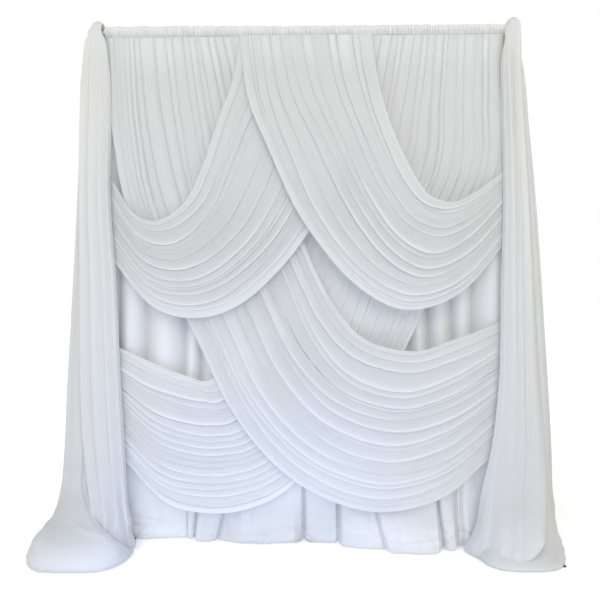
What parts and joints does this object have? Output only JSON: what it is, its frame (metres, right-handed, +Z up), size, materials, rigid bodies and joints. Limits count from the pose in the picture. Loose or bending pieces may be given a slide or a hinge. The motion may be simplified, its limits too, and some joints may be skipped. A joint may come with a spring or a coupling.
{
  "type": "sheer backdrop drape on a stand",
  "caption": "Freestanding event backdrop: a gathered opaque panel, crossed sheer swags tied to both posts and a long sheer scarf pooled at each post.",
  "frame": {"origin": "on the floor, midway between the axes of the two posts", "axes": "+Z up, +X along the crossbar to the viewer's right, +Y away from the side that faces the room"},
  "size_m": [3.033, 0.9001, 3.0447],
  "materials": {
    "sheer_cloth": "matt white chiffon, finely gathered",
    "scarf_cloth": "matt white chiffon, single layer, see-through",
    "backing_cloth": "smooth opaque white satin, soft sheen",
    "tube": "brushed",
    "base_plate": "dark satin powder coat"
  },
  "bodies": {
    "root": {"heading": "sheer_cloth", "backing_panel": "backing_cloth", "swag_lower_left": "sheer_cloth", "swag_lower_right": "sheer_cloth", "swag_upper_left": "sheer_cloth", "swag_upper_right": "sheer_cloth", "scarf_left": "scarf_cloth", "scarf_right": "scarf_cloth", "crossbar": "tube", "upright_left": "tube", "upright_right": "tube", "base_plate_left": "base_plate", "base_plate_right": "base_plate"}
  },
  "joints": []
}
